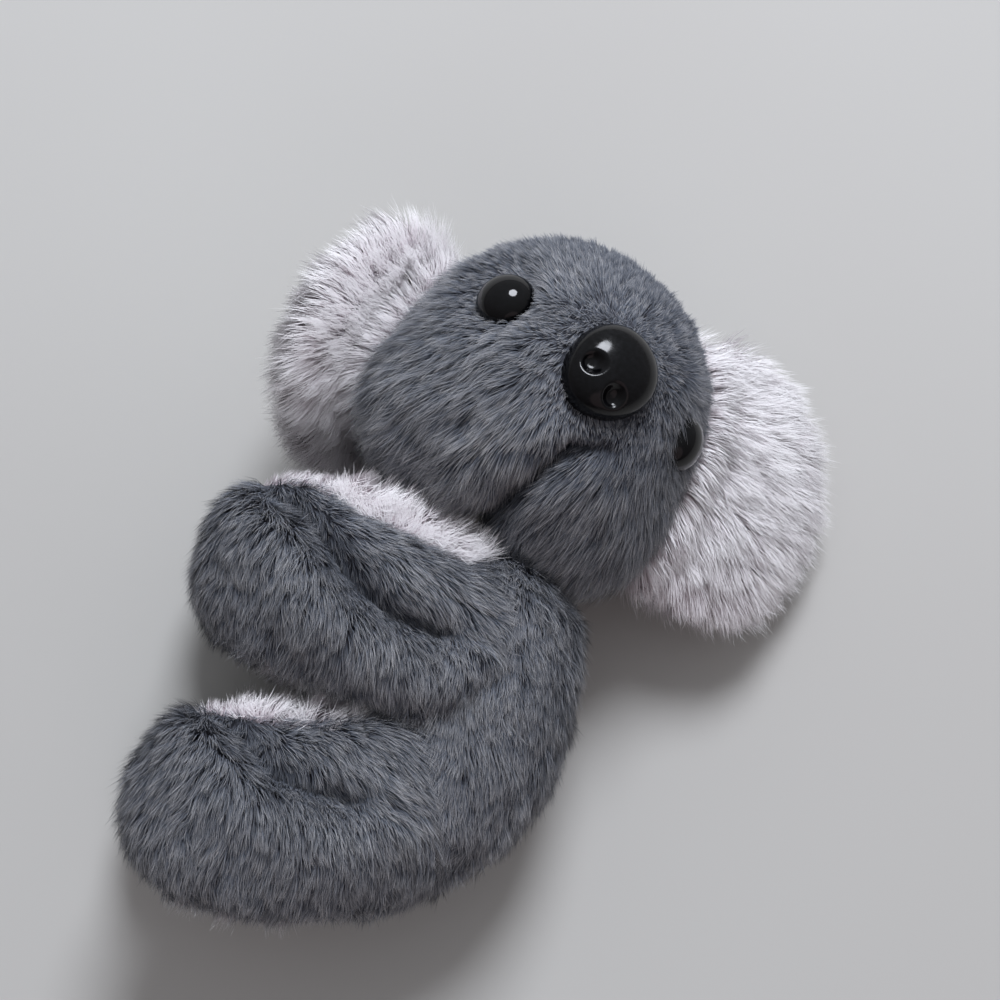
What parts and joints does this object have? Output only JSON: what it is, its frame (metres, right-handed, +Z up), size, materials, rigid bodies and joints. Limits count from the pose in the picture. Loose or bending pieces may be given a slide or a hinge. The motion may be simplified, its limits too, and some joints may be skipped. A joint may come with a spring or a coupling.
{
  "type": "plush koala",
  "caption": "Small clip-on plush koala lying on its side: a turning head with ears, glossy eyes and nose, and sprung arms and legs that open when the back is pinched.",
  "frame": {"origin": "on the floor, under the middle of the toy's box as it lies", "axes": "+Z up, +Y from the feet towards the head, +X towards the toy's back"},
  "size_m": [0.0762, 0.0996, 0.0426],
  "materials": {
    "grey_plush": "blue-grey plush with lighter tips",
    "white_plush": "long white plush",
    "filling": "loose white polyester fibre",
    "black_plastic": "glossy black",
    "white_plastic": "natural moulded plastic",
    "steel": "bright wire"
  },
  "bodies": {
    "spine": {"hinge_pin": "steel", "torsion_spring": "steel", "neck_post": "white_plastic", "belly_panel": "white_plush", "back_panel": "grey_plush"},
    "head": {"head_cover": "grey_plush", "head_filling": "filling", "ear_left": "white_plush", "ear_right": "white_plush", "eye_left": "black_plastic", "eye_right": "black_plastic", "eye_washer_left": "white_plastic", "eye_washer_right": "white_plastic", "nose": "black_plastic", "nose_washer": "white_plastic", "neck_washer": "white_plastic"},
    "left_side": {"flank_left": "grey_plush", "clip_half_left": "white_plastic", "arm_left": "grey_plush", "arm_lining_left": "white_plush", "leg_left": "grey_plush", "leg_lining_left": "white_plush"},
    "right_side": {"flank_right": "grey_plush", "clip_half_right": "white_plastic", "arm_right": "grey_plush", "arm_lining_right": "white_plush", "leg_right": "grey_plush", "leg_lining_right": "white_plush"}
  },
  "joints": [
    {"name": "head_turn", "type": "hinge", "parent": "spine", "child": "head", "pos_m": [-0.00279, 0.02821, 0.01897], "axis": [0, 0.9988, 0.0498], "range_deg": [-212, 8]},
    {"name": "clip_left", "type": "hinge", "parent": "spine", "child": "left_side", "pos_m": [-0.00279, -0.00914, 0.01711], "axis": [0, 0.9988, 0.0498], "range_deg": [0, 20], "stiffness_Nm_per_rad": 0.06, "springref_deg": -20.05, "deforming": ["torsion_spring", "back_panel"]},
    {"name": "clip_right", "type": "hinge", "parent": "spine", "child": "right_side", "pos_m": [-0.00279, -0.00914, 0.01711], "axis": [0, -0.9988, -0.0498], "range_deg": [0, 20], "stiffness_Nm_per_rad": 0.06, "springref_deg": -20.05, "deforming": ["torsion_spring", "back_panel"]}
  ],
  "couplings": [
    {"joint": "clip_right", "follows": "clip_left", "ratio": 1}
  ]
}
